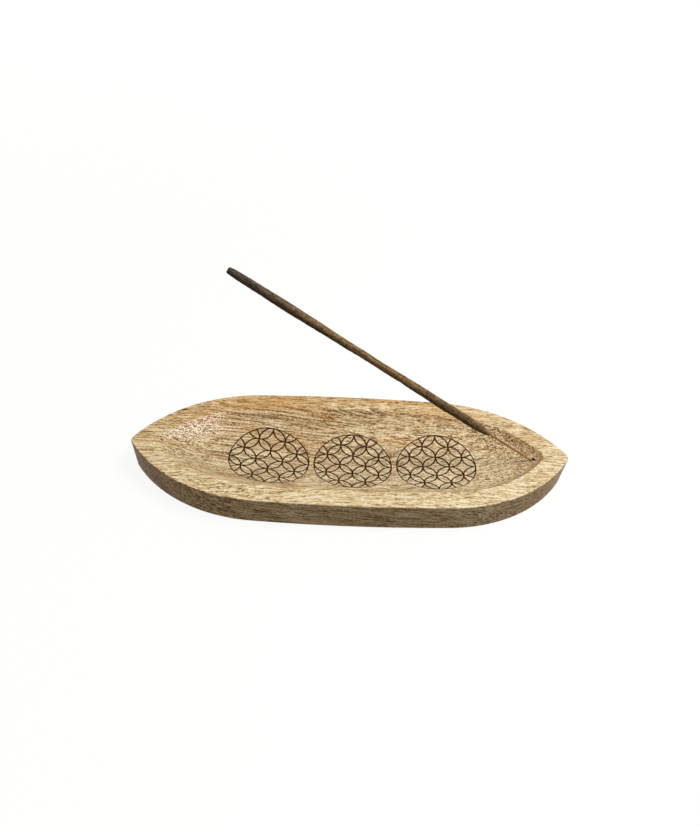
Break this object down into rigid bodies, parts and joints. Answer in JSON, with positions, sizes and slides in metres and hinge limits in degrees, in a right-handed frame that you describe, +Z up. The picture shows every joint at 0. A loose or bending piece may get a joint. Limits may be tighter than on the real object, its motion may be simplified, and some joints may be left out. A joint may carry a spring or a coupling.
{
  "type": "incense burner",
  "caption": "Boat-shaped wooden incense burner: a flat rim round a shallow hollow that catches ash, engraved on its floor, with an angled hole that holds an incense stick over it.",
  "frame": {"origin": "middle of the flat underside, on the surface that the tray stands on", "axes": "+X along the boat towards the end with the stick's hole, +Y across the boat, +Z up"},
  "size_m": [0.25, 0.093, 0.133],
  "materials": {
    "mango_wood": "oiled, satin",
    "bamboo": "raw split bamboo",
    "incense_paste": "rough, matt, dusty"
  },
  "bodies": {
    "tray": {"wooden_tray": "mango_wood"},
    "stick": {"bamboo_core": "bamboo", "incense_coat": "incense_paste"}
  },
  "joints": [
    {"name": "stick_pull", "type": "slide", "parent": "tray", "child": "stick", "axis": [-0.8261, 0, 0.5635], "range_m": [0, 0.015]}
  ]
}
